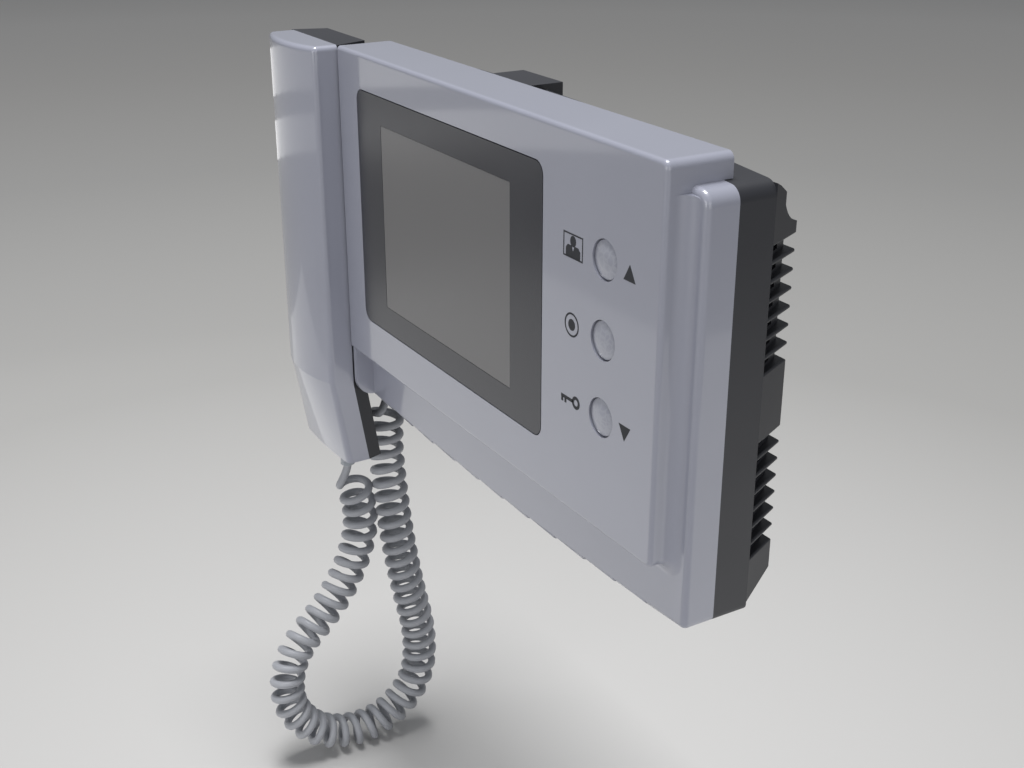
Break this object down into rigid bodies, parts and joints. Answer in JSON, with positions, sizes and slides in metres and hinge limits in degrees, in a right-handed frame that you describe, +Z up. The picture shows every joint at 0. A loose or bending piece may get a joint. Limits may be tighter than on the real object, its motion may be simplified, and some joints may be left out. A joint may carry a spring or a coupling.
{
  "type": "video intercom monitor",
  "caption": "Wall-mounted door intercom monitor with a colour screen, push buttons, louvred rear housing and a corded handset in a side cradle.",
  "frame": {"origin": "on the wall face, at the centre of the bracket's four screw holes", "axes": "+X to the right seen from the room, +Z up, +Y into the wall, so the front looks along -Y"},
  "size_m": [0.3162, 0.1046, 0.4013],
  "materials": {
    "charcoal_plastic": "fine-textured moulded ABS",
    "silver_gloss": "silver-grey lacquered ABS, glossy",
    "button_silver": "silver lacquered, finely grained",
    "bezel_satin": "dark satin",
    "window_acrylic": "clear acrylic",
    "display_glass": "grey polarised glass",
    "black_foam": "foam",
    "zinc_steel": "zinc plated",
    "screw_steel": "zinc plated screw",
    "white_plastic": "natural moulded",
    "black_plastic": "moulded",
    "circuit_board": "solder mask",
    "terminal_green": "moulded",
    "speaker_paper": "pressed paper",
    "cord_plug_clear": "moulded",
    "cord_grey": "satin PVC sleeve"
  },
  "bodies": {
    "root": {"rear_housing": "charcoal_plastic", "wall_bracket": "zinc_steel", "front_cover": "silver_gloss", "cradle": "charcoal_plastic", "screen_bezel": "bezel_satin", "screen_lens": "window_acrylic", "screen_gasket": "black_foam", "lcd_frame": "zinc_steel", "lcd_glass": "display_glass", "lcd_backlight": "white_plastic", "lcd_screws": "screw_steel", "main_board": "circuit_board", "board_screws": "screw_steel", "terminal_block": "terminal_green", "terminal_screws": "screw_steel", "call_speaker": "zinc_steel", "call_speaker_cone": "speaker_paper", "keypad_board": "circuit_board", "keypad_screws": "screw_steel", "monitor_switch": "black_plastic", "talk_switch": "black_plastic", "unlock_switch": "black_plastic", "housing_screws": "screw_steel", "cradle_screws": "screw_steel", "hook_switch": "black_plastic", "base_cord_jack": "black_plastic", "base_cord_plug": "cord_plug_clear", "curly_cord": "cord_grey"},
    "handset": {"handset_front": "silver_gloss", "handset_back": "charcoal_plastic", "handset_screws": "screw_steel", "earpiece_speaker": "zinc_steel", "earpiece_cone": "speaker_paper", "microphone": "zinc_steel", "handset_weight": "zinc_steel", "handset_cord_jack": "black_plastic", "handset_cord_plug": "cord_plug_clear"},
    "hook_plunger": {"hook_plunger": "black_plastic"},
    "monitor_button": {"monitor_button": "button_silver", "monitor_switch_plunger": "white_plastic"},
    "talk_button": {"talk_button": "button_silver", "talk_switch_plunger": "white_plastic"},
    "unlock_button": {"unlock_button": "button_silver", "unlock_switch_plunger": "white_plastic"}
  },
  "joints": [
    {"name": "handset_lift", "type": "slide", "parent": "root", "child": "handset", "axis": [0, -1, 0], "range_m": [0, 0.05]},
    {"name": "hook_plunger_slide", "type": "slide", "parent": "root", "child": "hook_plunger", "axis": [0, -1, 0], "range_m": [0, 0.003]},
    {"name": "monitor_press", "type": "slide", "parent": "root", "child": "monitor_button", "axis": [0, 1, 0], "range_m": [0, 0.001], "stiffness_N_per_m": 400, "springref_m": -0.0005},
    {"name": "talk_press", "type": "slide", "parent": "root", "child": "talk_button", "axis": [0, 1, 0], "range_m": [0, 0.001], "stiffness_N_per_m": 400, "springref_m": -0.0005},
    {"name": "unlock_press", "type": "slide", "parent": "root", "child": "unlock_button", "axis": [0, 1, 0], "range_m": [0, 0.001], "stiffness_N_per_m": 400, "springref_m": -0.0005}
  ],
  "couplings": [
    {"joint": "hook_plunger_slide", "follows": "handset_lift", "ratio": 0.06}
  ]
}
